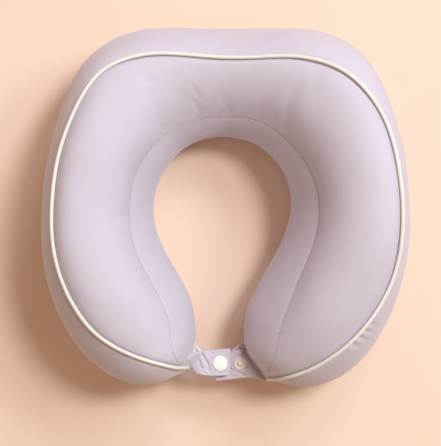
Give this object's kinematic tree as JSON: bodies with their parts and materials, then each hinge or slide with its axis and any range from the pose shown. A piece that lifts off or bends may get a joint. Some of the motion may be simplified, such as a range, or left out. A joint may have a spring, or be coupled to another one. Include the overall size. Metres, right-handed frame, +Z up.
{
  "type": "u shaped neck pillow",
  "caption": "U-shaped travel neck pillow with a foam core, piped knit cover, rear zip and a front snap strap.",
  "frame": {"origin": "centre of the plan outline, on the flat underside", "axes": "+Z up out of the underside, +Y towards the back of the neck, -Y towards the strap, +X to the wearer's right arm of the U as seen from above with the back at the top"},
  "size_m": [0.2982, 0.2965, 0.1257],
  "materials": {
    "knit_cover": "smooth stretch knit with a soft sheen",
    "strap": "smooth stretch knit, two plies",
    "piping": "satin bias tape",
    "filler_cord": "plain cotton cord",
    "thread": "polyester thread",
    "foam": "moulded viscoelastic foam",
    "liner": "thin tricot",
    "zip_tape": "woven zip tape",
    "zip_teeth": "nylon",
    "zip_metal": "enamelled",
    "snap_white": "polished resin"
  },
  "bodies": {
    "pillow": {"foam_core": "foam", "core_liner": "liner", "top_panel": "knit_cover", "neck_panel": "knit_cover", "side_panel": "knit_cover", "bottom_panel": "knit_cover", "upper_piping_tape": "piping", "upper_piping_cord": "filler_cord", "lower_piping_tape": "piping", "lower_piping_cord": "filler_cord", "neck_seam_thread": "thread", "zip_tape_upper": "zip_tape", "zip_tape_lower": "zip_tape", "zip_teeth_upper": "zip_teeth", "zip_teeth_lower": "zip_teeth", "zip_stops": "zip_teeth"},
    "slider": {"zip_slider": "zip_metal"},
    "pull": {"zip_pull": "zip_metal"},
    "left_tab": {"left_strap_tab": "strap", "snap_cap": "snap_white", "snap_socket": "snap_white"},
    "right_tab": {"right_strap_tab": "strap", "stud_near": "snap_white", "stud_far": "snap_white", "stud_cap_near": "snap_white", "stud_cap_far": "snap_white"}
  },
  "joints": [
    {"name": "left_tab_lift", "type": "hinge", "parent": "pillow", "child": "left_tab", "pos_m": [-0.02943, -0.12801, 0.046], "axis": [-0.4121, -0.9112, 0], "range_deg": [0, 70]},
    {"name": "right_tab_drop", "type": "hinge", "parent": "pillow", "child": "right_tab", "pos_m": [0.0241, -0.13057, 0.0395], "axis": [0.5892, -0.808, 0], "range_deg": [0, 30]},
    {"name": "zip_slide", "type": "slide", "parent": "pillow", "child": "slider", "axis": [-1, 0, 0], "range_m": [0, 0.108]},
    {"name": "zip_pull_flip", "type": "hinge", "parent": "slider", "child": "pull", "pos_m": [0.054, 0.14573, 0.01721], "axis": [0, -0.2983, -0.9545], "range_deg": [0, 180]}
  ]
}
